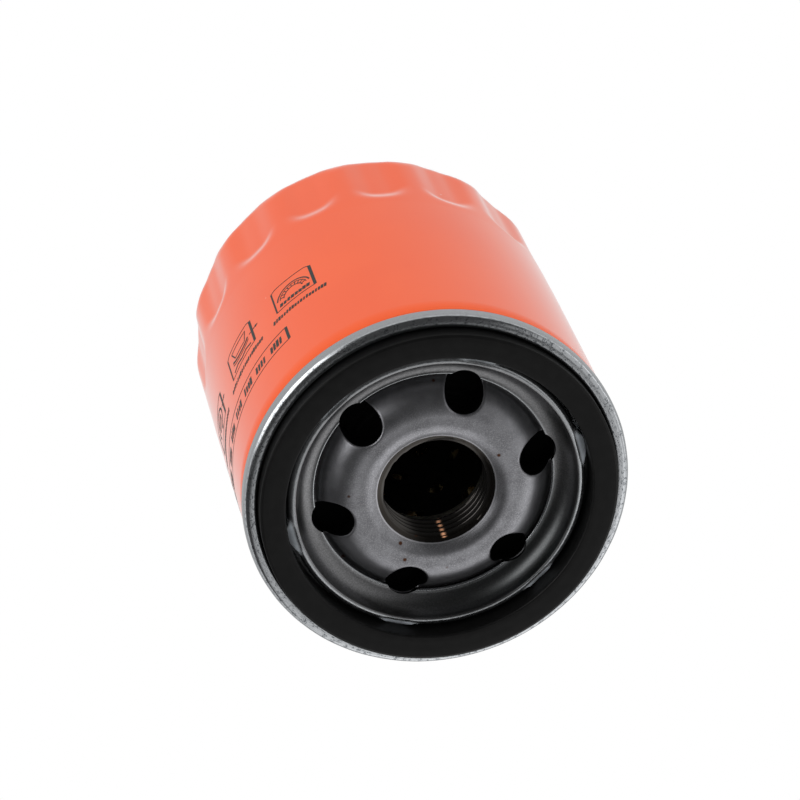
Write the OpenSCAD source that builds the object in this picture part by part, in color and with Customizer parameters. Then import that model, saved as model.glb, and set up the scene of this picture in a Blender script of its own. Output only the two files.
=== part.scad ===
// Spin-on engine oil filter. The filter axis is Z, the closed end stands on z = 0
// and the threaded, gasketed end faces up. All lengths are millimetres.

/* [Can] */
// outside diameter of the drawn steel can
can_diameter = 67.2; // [60:0.1:80]
// sheet thickness of the can
can_wall = 0.4; // [0.3:0.05:0.8]
// height of the lid crest above the closed end
crest_height = 75.0; // [65:0.5:95]
// corner radius of the closed end
corner_radius = 8.1; // [5:0.1:9]
// radius of the shallow recess stamped in the closed end
recess_radius = 20.0; // [10:0.5:26]
// depth of that recess
recess_depth = 0.6; // [0:0.1:2]

/* [Wrench flutes] */
// number of wrench flutes round the closed end
flute_count = 16; // [12:1:18]
// radius of the tool face that forms a flute
flute_face_radius = 22.7; // [15:0.1:30]
// greatest depth of a flute, at the closed end
flute_depth = 1.15; // [0.5:0.05:1.5]
// length of a flute measured from the closed end
flute_length = 22.5; // [10:0.5:35]
// height of the sloping shoulder at the flute end
flute_shoulder = 5.5; // [2:0.5:8]
// turn of the first flute about the axis, degrees
flute_phase = 2.7; // [0:0.1:22.5]

/* [Rolled seam and lid] */
// outside diameter of the double seam
seam_diameter = 68.0; // [60:0.1:80]
// height of the double seam
seam_height = 2.8; // [2:0.1:4]
// sheet thickness of the seaming lid
lid_sheet = 0.5; // [0.4:0.05:1]
// radius of the crest that stands round the base plate
crest_radius = 25.2; // [23:0.1:27]
// radius of the inner edge of the lid
lid_edge_radius = 21.0; // [19:0.1:23]
// outer face radius of the inner groove wall
groove_inner_radius = 26.4; // [25:0.1:28]
// inner face radius of the outer groove wall
groove_outer_radius = 31.7; // [30:0.1:33]
// number of gasket keeping bumps pressed in the inner groove wall
bump_count = 6; // [3:1:8]
// angle one bump spans, degrees
bump_span = 14; // [6:1:20]

/* [Base plate] */
// thickness of the stamped base plate
plate_thickness = 2.5; // [1.5:0.1:4]
// outside radius of the base plate
plate_radius = 31.0; // [28:0.1:32]
// minor diameter of the M20 x 1.5 thread
thread_minor_diameter = 18.38; // [18:0.01:19.5]
// mouth diameter of the thread chamfer
chamfer_diameter = 21.0; // [20:0.1:23]
// outside radius of the drawn thread collar
collar_radius = 12.0; // [11:0.1:14]
// length of the thread collar below the hub plateau
collar_depth = 8.0; // [5:0.1:12]
// number of oil inlet holes
inlet_count = 6; // [4:1:8]
// radius of an oil inlet hole
inlet_radius = 3.5; // [2:0.05:5]
// radius of the circle the inlet holes stand on
inlet_circle_radius = 18.7; // [16:0.1:22]
// turn of the first inlet hole about the axis, degrees
inlet_phase = 54.8; // [0:0.1:60]

/* [Gasket] */
// inside radius of the gasket
gasket_inner_radius = 27.0; // [26:0.1:29]
// outside radius of the gasket
gasket_outer_radius = 31.5; // [30:0.1:33]
// height the gasket stands proud of the lid crest
gasket_proud = 2.6; // [1:0.1:4]
// bevel along the gasket edges
gasket_bevel = 0.35; // [0:0.05:1]

/* [Anti-drainback valve] */
// radius of the sealing lip
valve_lip_radius = 28.6; // [25:0.1:30]
// thickness of the rubber skirt
skirt_thickness = 1.1; // [0.8:0.1:2]
// thickness of the clamped rubber disc
clamp_thickness = 1.5; // [1:0.1:3]

/* [Filter element] */
// outside radius of the element end caps
cap_radius = 29.0; // [26:0.1:31]
// sheet thickness of the end caps
cap_sheet = 0.4; // [0.3:0.05:0.8]
// height of the cap skirts
cap_skirt = 2.9; // [2:0.1:5]
// height of the underside of the lower end cap
element_base = 13.6; // [8:0.1:20]
// height of the flat of the upper end cap
element_top = 61.0; // [50:0.1:66]
// thickness of the potting compound in each cap
potting_thickness = 1.2; // [0.8:0.1:3]
// number of paper pleats
pleat_count = 44; // [30:1:60]
// outer radius of the pleat folds
pleat_outer_radius = 28.2; // [24:0.1:29]
// inner radius of the pleat folds
pleat_inner_radius = 14.7; // [13:0.1:18]
// thickness of the filter paper
paper_thickness = 0.6; // [0.4:0.05:1]
// outside radius of the perforated centre tube
tube_radius = 14.0; // [11:0.1:16]
// sheet thickness of the centre tube
tube_sheet = 0.4; // [0.3:0.05:0.8]
// rows of holes in the centre tube
tube_rows = 6; // [3:1:12]
// holes in one row of the centre tube
tube_columns = 8; // [4:1:12]
// radius of one tube hole
tube_hole_radius = 1.6; // [0.8:0.1:2.5]

/* [Bypass valve] */
// radius of the bypass port
port_radius = 5.2; // [3:0.1:7]
// lift of the bypass disc from seat to stop
bypass_lift = 3.0; // [1:0.1:5]
// radius of the steel valve disc
disc_radius = 7.4; // [6:0.1:8.5]
// radius of the valve stem
stem_radius = 2.0; // [1:0.1:3]
// mean radius of the bypass spring
spring_radius = 4.6; // [3:0.1:6]
// wire diameter of the bypass spring
spring_wire = 0.7; // [0.4:0.05:1.2]
// turns of the bypass spring
spring_turns = 6; // [4:0.5:9]
// outside radius of the bypass cage
cage_radius = 9.6; // [8.5:0.1:11]
// height of the bypass cage
cage_height = 11.9; // [9:0.1:16]

/* [Support spring] */
// number of spring legs
leg_count = 4; // [3:1:6]
// width of one spring leg
leg_width = 9.0; // [4:0.5:14]
// thickness of the spring steel
leg_sheet = 0.5; // [0.3:0.05:1]

/* [Hidden] */
$fn = 96;
can_radius = can_diameter / 2;
seam_radius = seam_diameter / 2;
seam_top = crest_height + 0.1;
seam_bottom = seam_top - seam_height;
// sheet layers of the double seam, from the outside inwards
panel_in = seam_radius - lid_sheet;
can_hook_in = panel_in - can_wall;
lid_hook_in = can_hook_in - lid_sheet;
neck_in = lid_hook_in - can_wall;
groove_floor = crest_height - 4.15;
plate_top = groove_floor - lid_sheet;
plate_bottom = plate_top - plate_thickness;
plateau = crest_height - 0.5;
collar_bottom = plateau - collar_depth;
thread_radius = thread_minor_diameter / 2;
mouth_radius = chamfer_diameter / 2;
mouth_height = crest_height - 1.45;
flute_axis = can_radius - flute_depth + flute_face_radius;
clamp_bottom = collar_bottom - clamp_thickness;
tube_bottom = element_base + cap_sheet;
tube_top = clamp_bottom - cap_sheet;
media_bottom = tube_bottom + potting_thickness;
media_top = element_top - cap_sheet - potting_thickness;
seat_sheet = 0.6;
seat_top = tube_bottom + 1.3;
seal_thickness = 1.2;
disc_sheet = 0.6;
disc_bottom = seat_top + seal_thickness;
disc_top = disc_bottom + disc_sheet;
cage_top = tube_bottom + seat_sheet + cage_height;
cage_sheet = 0.5;
spring_top = cage_top - cage_sheet;
pleat_pitch = 360 / pleat_count;

// points of an arc about [cx, cz], from angle a to angle b in n steps
function arc(cx, cz, r, a, b, n) =
    [for (i = [0 : n]) [cx + r * cos(a + (b - a) * i / n), cz + r * sin(a + (b - a) * i / n)]];

// place children round the axis
module around(count, phase = 0) {
    for (i = [0 : count - 1]) rotate([0, 0, phase + i * 360 / count]) children();
}

// the tool that presses one flute, grown by the sheet thickness for the inside face
module flute_tool(grow) {
    half = 6.4;
    intersection() {
        translate([flute_axis, 0, 0])
            rotate_extrude()
                polygon([[0, -2], [flute_face_radius + grow, -2],
                         [flute_face_radius - 0.15 + grow, flute_length - flute_shoulder],
                         [flute_face_radius - flute_depth + grow, flute_length],
                         [0, flute_length]]);
        translate([can_radius - 4, -half, -1]) cube([7, 2 * half, flute_length + 2]);
    }
}

// solid of revolution inside the outer (inset = 0) or inner (inset = wall) skin
module can_bulk(inset, top) {
    rotate_extrude()
        polygon(concat([[0, recess_depth + inset], [recess_radius - 0.6, recess_depth + inset],
                        [recess_radius, inset]],
                       arc(can_radius - corner_radius, corner_radius, corner_radius - inset, -90, 0, 4),
                       [[can_radius - inset, top], [0, top]]));
}

// drawn can: fluted closed end, straight wall, neck and hook inside the double seam
module can() {
    split = flute_length + 8;
    color([0.95, 0.38, 0.22]) union() {
        difference() {
            can_bulk(0, split);
            around(flute_count, flute_phase) flute_tool(0);
            difference() {
                can_bulk(can_wall, split + 1);
                around(flute_count, flute_phase) flute_tool(can_wall);
            }
        }
        rotate_extrude()
            polygon([[can_radius - can_wall, split], [can_radius, split],
                     [can_radius, seam_bottom - 1.2], [can_radius - 0.3, seam_bottom - 0.6],
                     [lid_hook_in, seam_bottom - 0.1], [lid_hook_in, seam_top - lid_sheet - can_wall],
                     [can_hook_in, seam_top - lid_sheet - can_wall],
                     [can_hook_in, seam_bottom + lid_sheet + 0.15],
                     [panel_in, seam_bottom + lid_sheet + 0.15], [panel_in, seam_top - lid_sheet],
                     [neck_in, seam_top - lid_sheet], [neck_in, seam_bottom - 0.3],
                     [can_radius - can_wall - 0.25, seam_bottom - 0.85],
                     [can_radius - can_wall, seam_bottom - 1.3]]);
    }
}

// thin lid: inner edge on the base plate, raised crest, gasket groove, rolled double seam
module seaming_lid() {
    fold = groove_inner_radius - lid_sheet;
    color([0.72, 0.73, 0.74]) difference() {
        union() {
            rotate_extrude()
                polygon(concat(
                    [[lid_edge_radius, plate_top], [lid_edge_radius + 0.7, plate_top]],
                    arc(lid_edge_radius + 0.3, crest_height - 0.35, 3.5 + lid_sheet, -84, -8, 6),
                    [[fold - 0.25, crest_height - lid_sheet], [fold, crest_height - 0.8],
                     [fold, plate_top], [groove_outer_radius + lid_sheet, plate_top],
                     [neck_in, seam_top - lid_sheet], [panel_in, seam_top - lid_sheet],
                     [panel_in, seam_bottom + lid_sheet], [can_hook_in, seam_bottom + lid_sheet],
                     [can_hook_in, seam_top - lid_sheet - can_wall - 0.15],
                     [lid_hook_in, seam_top - lid_sheet - can_wall - 0.15],
                     [lid_hook_in, seam_bottom + 0.25], [lid_hook_in + 0.25, seam_bottom],
                     [seam_radius - 0.35, seam_bottom], [seam_radius, seam_bottom + 0.35],
                     [seam_radius, seam_top - 0.6], [seam_radius - 0.2, seam_top - 0.2],
                     [seam_radius - 0.6, seam_top], [groove_outer_radius + 0.3, seam_top],
                     [groove_outer_radius, seam_top - 0.3], [groove_outer_radius, groove_floor],
                     [groove_inner_radius, groove_floor], [groove_inner_radius, crest_height - 0.7],
                     [groove_inner_radius - 0.3, crest_height - 0.2], [crest_radius + 0.5, crest_height],
                     [crest_radius, crest_height]],
                    arc(lid_edge_radius + 0.3, crest_height - 0.35, 3.5, 0, -90, 6),
                    [[lid_edge_radius + 0.2, groove_floor], [lid_edge_radius, groove_floor - 0.15]]));
            around(bump_count, inlet_phase - bump_span / 2)
                rotate_extrude(angle = bump_span)
                    polygon([[groove_inner_radius - 0.2, crest_height - 2.8],
                             [gasket_inner_radius, crest_height - 1.9],
                             [gasket_inner_radius, crest_height - 1.0],
                             [groove_inner_radius - 0.2, crest_height - 0.75]]);
        }
        around(inlet_count, inlet_phase)
            translate([inlet_circle_radius, 0, plate_top - 1]) cylinder(r = inlet_radius, h = 5);
    }
}

// sealing compound flowed into the space at the foot of the can hook
module seam_compound() {
    color([0.25, 0.45, 0.6])
        rotate_extrude()
            polygon([[can_hook_in, seam_bottom + lid_sheet], [panel_in, seam_bottom + lid_sheet],
                     [panel_in, seam_bottom + lid_sheet + 0.15],
                     [can_hook_in, seam_bottom + lid_sheet + 0.15]]);
}

// thick stamped base plate: flat flange, domed hub, drawn thread collar, inlet holes
module base_plate() {
    foot = lid_edge_radius - 0.25;
    color([0.42, 0.42, 0.44]) difference() {
        rotate_extrude()
            polygon([[thread_radius, collar_bottom + 0.5], [thread_radius + 0.5, collar_bottom],
                     [collar_radius - 0.4, collar_bottom], [collar_radius, collar_bottom + 0.4],
                     [collar_radius, plateau - plate_thickness - 1.2],
                     [collar_radius + 0.9, plateau - plate_thickness - 0.2],
                     [collar_radius + 2.2, plateau - plate_thickness],
                     [foot - 5.4, plateau - plate_thickness - 0.5],
                     [foot - 3.6, plateau - plate_thickness - 1.9],
                     [foot - 2.2, plate_bottom + 0.6], [foot - 1.2, plate_bottom],
                     [plate_radius - 0.3, plate_bottom], [plate_radius, plate_bottom + 0.3],
                     [plate_radius, plate_top], [foot, plate_top],
                     [foot - 0.5, plate_top + 0.75], [foot - 1.5, plate_top + 2.0],
                     [foot - 2.7, plate_top + 3.05], [foot - 4.0, plate_top + 3.75],
                     [foot - 5.4, plateau], [13.4, plateau], [12.2, plateau - 0.1],
                     [11.2, plateau - 0.45], [mouth_radius, mouth_height],
                     [thread_radius, mouth_height - (mouth_radius - thread_radius)]]);
        around(inlet_count, inlet_phase)
            translate([inlet_circle_radius, 0, plate_bottom - 1]) cylinder(r = inlet_radius, h = 10);
    }
}

// square section rubber gasket standing in the lid groove
module gasket() {
    top = crest_height + gasket_proud;
    color([0.07, 0.07, 0.07])
        rotate_extrude()
            polygon([[gasket_inner_radius, groove_floor], [gasket_outer_radius, groove_floor],
                     [gasket_outer_radius, top - gasket_bevel], [gasket_outer_radius - gasket_bevel, top],
                     [gasket_inner_radius + gasket_bevel, top], [gasket_inner_radius, top - gasket_bevel]]);
}

// rubber check valve: disc clamped under the thread collar, skirt and lip on the plate flange
module anti_drainback_valve() {
    bend = 15.6;
    color([0.13, 0.13, 0.14])
        rotate_extrude()
            polygon([[thread_radius + 0.6, clamp_bottom], [bend - 0.6, clamp_bottom],
                     [bend + 1.2, clamp_bottom - 0.5], [valve_lip_radius - 6.5, clamp_bottom - 0.35],
                     [valve_lip_radius, plate_bottom - skirt_thickness],
                     [valve_lip_radius + 0.5, plate_bottom],
                     [valve_lip_radius - 1.0, plate_bottom],
                     [valve_lip_radius - 6.8, clamp_bottom - 0.35 + skirt_thickness],
                     [bend + 1.2, clamp_bottom - 0.5 + skirt_thickness],
                     [bend - 0.4, collar_bottom], [thread_radius + 0.6, collar_bottom]]);
}

// pressed steel cap with raised collar that carries the valve disc
module upper_end_cap() {
    bore = 10.0;
    boss = tube_radius + 0.1;
    color([0.62, 0.6, 0.5])
        rotate_extrude()
            polygon([[bore, tube_top], [boss, tube_top], [boss, element_top - cap_sheet],
                     [cap_radius - cap_sheet, element_top - cap_sheet],
                     [cap_radius - cap_sheet, element_top - cap_skirt],
                     [cap_radius, element_top - cap_skirt], [cap_radius, element_top - 0.4],
                     [cap_radius - 0.4, element_top], [boss + cap_sheet, element_top],
                     [boss + cap_sheet, clamp_bottom - 0.3], [boss + 0.1, clamp_bottom],
                     [bore, clamp_bottom]]);
}

// cured compound that seals the pleat ends into the upper cap
module upper_potting() {
    color([0.78, 0.35, 0.2])
        rotate_extrude()
            polygon([[tube_radius + 0.1, media_top], [cap_radius - cap_sheet, media_top],
                     [cap_radius - cap_sheet, element_top - cap_sheet],
                     [tube_radius + 0.1, element_top - cap_sheet]]);
}

// cured compound that seals the pleat ends into the lower cap
module lower_potting() {
    color([0.78, 0.35, 0.2])
        rotate_extrude()
            polygon([[tube_radius + 0.1, tube_bottom], [cap_radius - cap_sheet, tube_bottom],
                     [cap_radius - cap_sheet, media_bottom], [tube_radius + 0.1, media_bottom]]);
}

// zigzag outline of the paper folds between an outer and an inner radius
function fold_line(outer, inner) =
    [for (u = [0 : 2 * pleat_count - 1])
        let (r = (u % 2 == 0) ? outer : inner)
        [r * cos(u * pleat_pitch / 2), r * sin(u * pleat_pitch / 2)]];

// star of paper pleats
module pleated_media() {
    color([0.86, 0.78, 0.55])
        translate([0, 0, media_bottom])
            linear_extrude(height = media_top - media_bottom)
                difference() {
                    polygon(fold_line(pleat_outer_radius, pleat_inner_radius + paper_thickness * 1.6));
                    polygon(fold_line(pleat_outer_radius - paper_thickness * 6, pleat_inner_radius));
                }
}

// channel clip crimped over the fold where the two ends of the paper meet
module media_clip() {
    inside = 0.85;
    wall = 0.3;
    depth = 3.0;
    tip = pleat_outer_radius + 0.05;
    color([0.6, 0.6, 0.62])
        translate([0, 0, media_bottom + 0.3])
            linear_extrude(height = media_top - media_bottom - 0.6)
                difference() {
                    translate([tip - depth, -inside - wall]) square([depth + wall, 2 * (inside + wall)]);
                    translate([tip - depth - 1, -inside]) square([depth + 1, 2 * inside]);
                }
}

// perforated steel tube that carries the paper from inside
module centre_tube() {
    length = tube_top - tube_bottom;
    step = (length - 14) / (tube_rows - 1);
    color([0.7, 0.7, 0.72]) difference() {
        translate([0, 0, tube_bottom]) cylinder(r = tube_radius, h = length);
        translate([0, 0, tube_bottom - 1]) cylinder(r = tube_radius - tube_sheet, h = length + 2);
        for (row = [0 : tube_rows - 1])
            around(tube_columns, (row % 2) * 180 / tube_columns)
                translate([tube_radius - 2, 0, tube_bottom + 6 + row * step])
                    rotate([0, 90, 0]) cylinder(r = tube_hole_radius, h = 4, $fn = 32);
    }
}

// pressed steel cap that closes the element at the bypass end
module lower_end_cap() {
    hole = 10.2;
    color([0.62, 0.6, 0.5])
        rotate_extrude()
            polygon([[hole, element_base], [cap_radius - 0.4, element_base],
                     [cap_radius, element_base + 0.4], [cap_radius, element_base + cap_skirt],
                     [cap_radius - cap_sheet, element_base + cap_skirt],
                     [cap_radius - cap_sheet, tube_bottom], [hole, tube_bottom]]);
}

// spring steel star that pushes the element against the base plate
module support_spring() {
    top = element_base;
    floor_height = can_wall;
    color([0.5, 0.51, 0.53]) {
        translate([0, 0, top - leg_sheet]) difference() {
            cylinder(r = 19, h = leg_sheet);
            translate([0, 0, -1]) cylinder(r = 11, h = leg_sheet + 2);
        }
        around(leg_count, 45)
            translate([0, leg_width / 2, 0]) rotate([90, 0, 0])
                linear_extrude(height = leg_width)
                    polygon([[17, top - leg_sheet], [19.6, top - leg_sheet], [24.3, floor_height],
                             [27.4, floor_height + 1.2], [27.3, floor_height + 1.75],
                             [24.7, floor_height + 0.75], [20.1, top], [17, top]]);
    }
}

// seat plate with a coined seat lip round the bypass port
module bypass_seat() {
    color([0.66, 0.66, 0.68])
        rotate_extrude()
            polygon([[port_radius, tube_bottom], [12.8, tube_bottom],
                     [12.8, tube_bottom + seat_sheet], [port_radius + 1.3, tube_bottom + seat_sheet],
                     [port_radius + 0.8, seat_top], [port_radius + 0.3, seat_top],
                     [port_radius, seat_top - 0.3]]);
}

// windowed cup that guides the stem and carries the spring
module bypass_cage() {
    base = tube_bottom + seat_sheet;
    color([0.66, 0.66, 0.68]) difference() {
        rotate_extrude()
            polygon([[cage_radius - cage_sheet, base], [12.8, base], [12.8, base + cage_sheet],
                     [cage_radius, base + cage_sheet], [cage_radius, cage_top - 0.6],
                     [cage_radius - 0.6, cage_top], [stem_radius + 0.5, cage_top],
                     [stem_radius + 0.5, spring_top], [cage_radius - cage_sheet, spring_top]]);
        around(4, 45)
            translate([0, -4, base + 2.2]) cube([cage_radius + 2, 8, 6.6]);
    }
}

// flat steel valve disc
module bypass_disc() {
    color([0.75, 0.75, 0.77])
        translate([0, 0, disc_bottom]) difference() {
            cylinder(r = disc_radius, h = disc_sheet);
            translate([0, 0, -1]) cylinder(r = stem_radius, h = disc_sheet + 2);
        }
}

// rubber washer under the valve disc
module bypass_seal() {
    color([0.1, 0.1, 0.1])
        translate([0, 0, seat_top]) difference() {
            cylinder(r = disc_radius - 0.2, h = seal_thickness);
            translate([0, 0, -1]) cylinder(r = stem_radius, h = seal_thickness + 2);
        }
}

// headed stem that holds washer and disc together and slides in the cage
module bypass_stem() {
    color([0.8, 0.8, 0.82])
        rotate_extrude()
            polygon([[0, seat_top - 0.6], [3.0, seat_top - 0.6], [3.3, seat_top - 0.3],
                     [3.3, seat_top], [stem_radius, seat_top], [stem_radius, cage_top + 0.6],
                     [stem_radius - 0.4, cage_top + 1.0], [0, cage_top + 1.0]]);
}

// height of the wire centre after a given number of turns, with closed end coils
function coil_height(turn) =
    let (free = spring_top - disc_top - 3 * spring_wire)
    spring_wire / 2 + spring_wire * min(turn, 1) + spring_wire * max(turn - spring_turns + 1, 0)
    + free * min(max((turn - 1) / (spring_turns - 2), 0), 1);

// coil spring between the valve disc and the top of the cage
module bypass_spring() {
    sides = 8;
    steps = spring_turns * 16;
    rings = [for (i = [0 : steps], j = [0 : sides - 1])
        let (turn = i / 16, a = turn * 360, b = j * 360 / sides, r = spring_radius + spring_wire / 2 * cos(b))
        [r * cos(a), r * sin(a), disc_top + coil_height(turn) + spring_wire / 2 * sin(b)]];
    skin = [for (i = [0 : steps - 1], j = [0 : sides - 1])
        [i * sides + j, i * sides + (j + 1) % sides, (i + 1) * sides + (j + 1) % sides, (i + 1) * sides + j]];
    ends = [[for (j = [sides - 1 : -1 : 0]) j], [for (j = [0 : sides - 1]) steps * sides + j]];
    color([0.55, 0.56, 0.58]) polyhedron(points = rings, faces = concat(skin, ends));
}

can();
seaming_lid();
seam_compound();
base_plate();
gasket();
anti_drainback_valve();
upper_end_cap();
upper_potting();
pleated_media();
media_clip();
centre_tube();
lower_potting();
lower_end_cap();
support_spring();
bypass_seat();
bypass_cage();
bypass_disc();
bypass_seal();
bypass_stem();
bypass_spring();
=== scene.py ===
"""Looks of a spin-on engine oil filter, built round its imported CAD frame.

The filter axis is Z, the closed end stands on z = 0 and the threaded end faces up.
Outlines below are in millimetres, as (radius, height) pairs; meshes are in metres.
"""
import math
import random

import bmesh
import bpy
from mathutils import Matrix, Vector, noise
from mathutils.geometry import delaunay_2d_cdt


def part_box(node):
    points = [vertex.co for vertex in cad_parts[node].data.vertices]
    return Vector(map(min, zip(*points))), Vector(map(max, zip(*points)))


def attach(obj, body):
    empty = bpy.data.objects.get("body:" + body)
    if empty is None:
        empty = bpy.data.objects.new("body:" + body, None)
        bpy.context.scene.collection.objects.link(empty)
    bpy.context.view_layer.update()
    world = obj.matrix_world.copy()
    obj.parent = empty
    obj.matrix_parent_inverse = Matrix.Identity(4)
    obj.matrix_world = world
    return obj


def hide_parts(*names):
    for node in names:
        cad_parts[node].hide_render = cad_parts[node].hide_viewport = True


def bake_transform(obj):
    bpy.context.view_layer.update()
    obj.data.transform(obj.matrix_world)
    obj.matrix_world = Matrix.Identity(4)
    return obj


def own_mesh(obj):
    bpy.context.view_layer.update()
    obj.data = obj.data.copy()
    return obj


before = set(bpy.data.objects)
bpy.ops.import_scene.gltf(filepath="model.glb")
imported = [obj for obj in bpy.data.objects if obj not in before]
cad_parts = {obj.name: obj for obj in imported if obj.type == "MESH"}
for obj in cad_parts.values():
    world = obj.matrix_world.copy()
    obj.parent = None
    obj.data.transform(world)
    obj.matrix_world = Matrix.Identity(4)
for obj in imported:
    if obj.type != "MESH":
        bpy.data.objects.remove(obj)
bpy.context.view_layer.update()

MM = 0.001
BODY = "filter"


# -------- sizes from the frame, in millimetres
def extent(node):
    """(outer radius, lowest z, highest z) of a CAD node."""
    low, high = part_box(node)
    return high.x / MM, low.z / MM, high.z / MM


CAN_RADIUS = extent("can")[0]
SEAM_RADIUS, PLATE_TOP, SEAM_TOP = extent("seaming_lid")
PLATE_RADIUS, COLLAR_BOTTOM, PLATEAU = extent("base_plate")
GASKET_OUTER, GROOVE_FLOOR, GASKET_TOP = extent("gasket")
LIP_RADIUS, CLAMP_BOTTOM, PLATE_BOTTOM = extent("anti_drainback_valve")
MEDIA_RADIUS, MEDIA_BOTTOM, MEDIA_TOP = extent("pleated_media")
TUBE_RADIUS = extent("centre_tube")[0]
CAP_RADIUS = extent("lower_end_cap")[0]
SPRING_REACH, SPRING_BOTTOM, SPRING_TOP = extent("bypass_spring")
CREST = SEAM_TOP - 0.1
SEAM_BOTTOM = SEAM_TOP - 2.8

# can
CAN_WALL = 0.4
CORNER_RADIUS = 8.1
FLUTE_COUNT = 16
FLUTE_PHASE = 2.7
FLUTE_DEPTH = 1.15
FLUTE_END = 23.6
FLUTED_BELOW = 26
CAN_COLUMNS = FLUTE_COUNT * 24
# radii of the double seam's folds, from the outside in
HOOK_OUTER = SEAM_RADIUS - 0.5
HOOK_INNER = SEAM_RADIUS - 0.9
FOLD_RADIUS = SEAM_RADIUS - 1.4
NECK_RADIUS = SEAM_RADIUS - 1.8
# lid
LID_SHEET = 0.5
LID_EDGE = 21.0
DISH_CENTRE = (21.3, CREST - 0.35)
DISH_ARC = 3.5
CREST_INNER = 24.85
GROOVE_INNER = 26.4
BUMP_REACH = 0.66
GROOVE_OUTER = 31.7
GASKET_INNER = 27.0
# base plate and its thread
INLET_COUNT = 6
INLET_PHASE = 54.8
INLET_CIRCLE = 18.7
INLET_RADIUS = 3.5
MOUTH_RADIUS = 10.5
MOUTH_HEIGHT = PLATEAU - 0.95
MOUTH_BEVEL = 0.42
THREAD_PITCH = 1.5
THREAD_MINOR = 9.19
THREAD_DEPTH = 0.81
THREAD_LAND = 0.125
THREAD_FLANK = 0.625
THREAD_ROWS = 24
PLATE_COLUMNS = 180
COLLAR_RADIUS = 12.0
# pieces inside
SPRING_WIRE = 0.7
SPRING_TURNS = 6
STEM_RADIUS = 2.0
PLEAT_COUNT = 44
PLEAT_INNER = 14.7
PAPER = 0.5
COLUMNS = 288


# -------- outlines
def arc(centre_r, centre_z, radius, start, end, steps):
    """Points of an arc, angles in degrees."""
    angles = [math.radians(start + (end - start) * i / steps) for i in range(steps + 1)]
    return [(centre_r + radius * math.cos(a), centre_z + radius * math.sin(a)) for a in angles]


def flow(points, steps=4):
    """A smooth curve through the points (Catmull-Rom)."""
    padded = [points[0], *points, points[-1]]
    made = []
    for p0, p1, p2, p3 in zip(padded, padded[1:], padded[2:], padded[3:]):
        for i in range(steps):
            t = i / steps
            made.append(tuple(
                0.5 * (2 * b + (c - a) * t + (2 * a - 5 * b + 4 * c - d) * t * t
                       + (3 * b - a - 3 * c + d) * t ** 3)
                for a, b, c, d in zip(p0, p1, p2, p3)))
    return [*made, points[-1]]


def height_on(curve, radius):
    """Height of a curve, sorted by radius, at a radius."""
    if radius <= curve[0][0]:
        return curve[0][1]
    for (r0, z0), (r1, z1) in zip(curve, curve[1:]):
        if radius <= r1:
            return z0 + (z1 - z0) * (radius - r0) / max(r1 - r0, 1e-9)
    return curve[-1][1]


def ramp(low, high, value):
    """Smooth step from 0 at low to 1 at high."""
    t = min(max((value - low) / (high - low), 0.0), 1.0)
    return t * t * (3 - 2 * t)


# -------- meshes
def put(name, data):
    """A new object in the scene."""
    made = bpy.data.objects.new(name, data)
    bpy.context.scene.collection.objects.link(made)
    return made


def mesh_piece(name, points, faces, sharp=40):
    """An object from points in millimetres and faces; doubles merged, normals outwards, smooth."""
    mesh = bpy.data.meshes.new(name)
    mesh.from_pydata([Vector(p) * MM for p in points], [], faces)
    bm = bmesh.new()
    bm.from_mesh(mesh)
    bmesh.ops.remove_doubles(bm, verts=bm.verts, dist=1e-7)
    bmesh.ops.dissolve_degenerate(bm, dist=1e-7, edges=bm.edges)
    bmesh.ops.recalc_face_normals(bm, faces=bm.faces)
    bm.to_mesh(mesh)
    bm.free()
    mesh.polygons.foreach_set("use_smooth", [True] * len(mesh.polygons))
    mesh.set_sharp_from_angle(angle=math.radians(sharp))
    return put(name, mesh)


def around(radius, angle, height):
    """Point at a radius, an angle in radians and a height."""
    return (radius * math.cos(angle), radius * math.sin(angle), height)


def turned_faces(first, columns, count, closed):
    """Faces between columns of count points round the axis; closed joins the last point to the first."""
    faces = []
    for column in range(columns):
        here, there = first + column * count, first + (column + 1) % columns * count
        for i in range(count if closed else count - 1):
            j = (i + 1) % count
            faces.append((here + i, there + i, there + j, here + j))
    return faces


def revolve(name, outline, columns=COLUMNS, shape=None, sharp=40, closed=True):
    """Outline turned about Z. shape(angle, radius, height) may move each point."""
    points = []
    for column in range(columns):
        angle = 2 * math.pi * column / columns
        for radius, height in outline:
            if shape:
                radius, height = shape(angle, radius, height)
            points.append(around(radius, angle, height))
    return mesh_piece(name, points, turned_faces(0, columns, len(outline), closed), sharp)


def bored(piece, low, high):
    """The piece with the inlet holes cut through it, from a low to a high level."""
    points, faces = [], []
    sides = 64
    for hole in range(INLET_COUNT):
        turn = math.radians(INLET_PHASE + 360 * hole / INLET_COUNT)
        first = len(points)
        for level in (low, high):
            for side in range(sides):
                x, y, _ = around(INLET_RADIUS, 2 * math.pi * side / sides, 0)
                points.append((INLET_CIRCLE * math.cos(turn) + x, INLET_CIRCLE * math.sin(turn) + y, level))
        faces.append([first + i for i in reversed(range(sides))])
        faces.append([first + sides + i for i in range(sides)])
        for i in range(sides):
            j = (i + 1) % sides
            faces.append((first + i, first + j, first + sides + j, first + sides + i))
    cutter = mesh_piece("inlet_cutter", points, faces)
    cut = piece.modifiers.new("inlets", "BOOLEAN")
    cut.object = cutter
    cut.operation = "DIFFERENCE"
    cut.solver = "EXACT"
    bpy.context.view_layer.update()
    graph = bpy.context.evaluated_depsgraph_get()
    made = bpy.data.meshes.new_from_object(piece.evaluated_get(graph))
    piece.modifiers.clear()
    piece.data = made
    bpy.data.objects.remove(cutter)
    made.set_sharp_from_angle(angle=math.radians(40))
    return piece


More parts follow.
